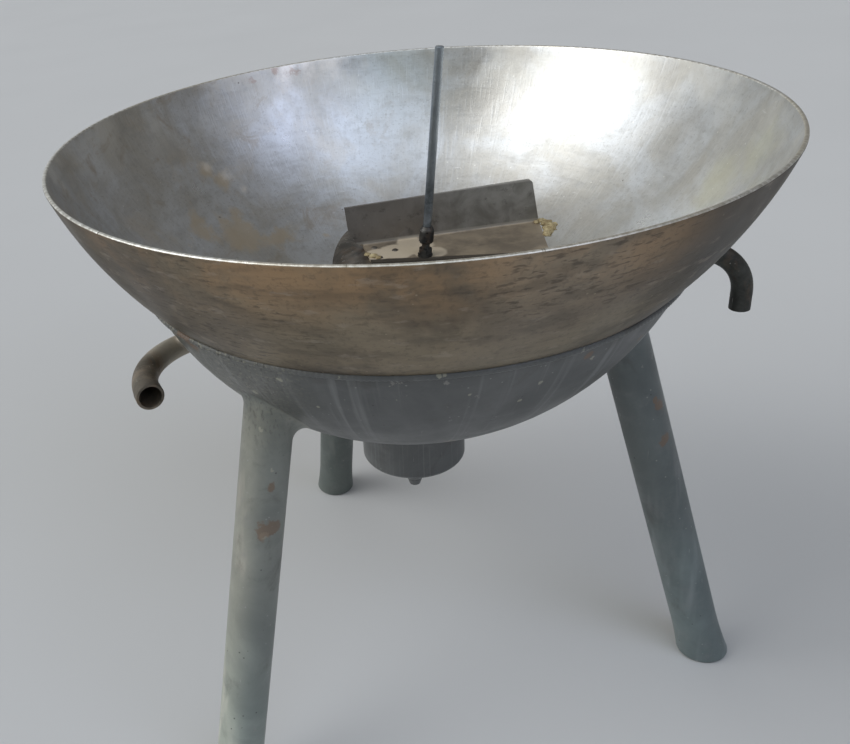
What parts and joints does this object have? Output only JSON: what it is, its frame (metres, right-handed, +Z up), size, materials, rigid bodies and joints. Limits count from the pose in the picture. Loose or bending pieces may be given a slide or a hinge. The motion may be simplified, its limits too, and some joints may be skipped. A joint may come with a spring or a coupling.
{
  "type": "steam-jacketed pan",
  "caption": "Wide open steel pan with a welded steam jacket and bottom cup on splayed tube legs, with steam pipes and an upright shaft that turns a folded paddle.",
  "frame": {"origin": "on the pan's upright axis, at floor level", "axes": "+Z up along the pan's axis; -Y towards the operator; the agitator shaft leans towards +X"},
  "size_m": [0.9121, 0.8982, 0.9295],
  "materials": {
    "bowl_steel": "worn bare steel, satin",
    "painted_steel": "blue-grey paint with drips and chips",
    "pipe_steel": "dull painted pipe, rusty at the end",
    "shaft_steel": "dark drawn steel",
    "blade_steel": "dull stained steel sheet",
    "bronze": "turned bronze",
    "packing": "greased packing cord"
  },
  "bodies": {
    "root": {"pan_bowl": "bowl_steel", "steam_jacket": "painted_steel", "jacket_seam_weld": "painted_steel", "sump_cup": "painted_steel", "cup_seam_weld": "painted_steel", "drain_socket": "painted_steel", "drain_plug": "painted_steel", "leg_front": "painted_steel", "leg_right": "painted_steel", "leg_rear": "painted_steel", "foot_front": "painted_steel", "foot_right": "painted_steel", "foot_rear": "painted_steel", "leg_welds": "painted_steel", "steam_inlet_pipe": "pipe_steel", "steam_inlet_collar": "pipe_steel", "inlet_pipe_weld": "pipe_steel", "steam_outlet_pipe": "pipe_steel", "outlet_pipe_weld": "pipe_steel", "centre_sleeve": "shaft_steel", "gland_nut": "shaft_steel", "footstep_block": "shaft_steel", "upper_bush": "bronze", "lower_bush": "bronze", "footstep_pad": "bronze", "gland_packing": "packing"},
    "agitator": {"lower_spindle": "shaft_steel", "thrust_collar": "shaft_steel", "blade_hub": "shaft_steel", "paddle_blade": "blade_steel", "taper_washer": "shaft_steel", "hub_nut": "shaft_steel", "shaft_coupling": "shaft_steel", "coupling_screws": "shaft_steel", "drive_rod": "shaft_steel", "end_wiper": "blade_steel", "wiper_rivets": "blade_steel"}
  },
  "joints": [
    {"name": "agitator_spin", "type": "hinge", "parent": "root", "child": "agitator", "pos_m": [0.02462, 0, 0.6587], "axis": [0.0889, 0, 0.996], "continuous": true}
  ]
}
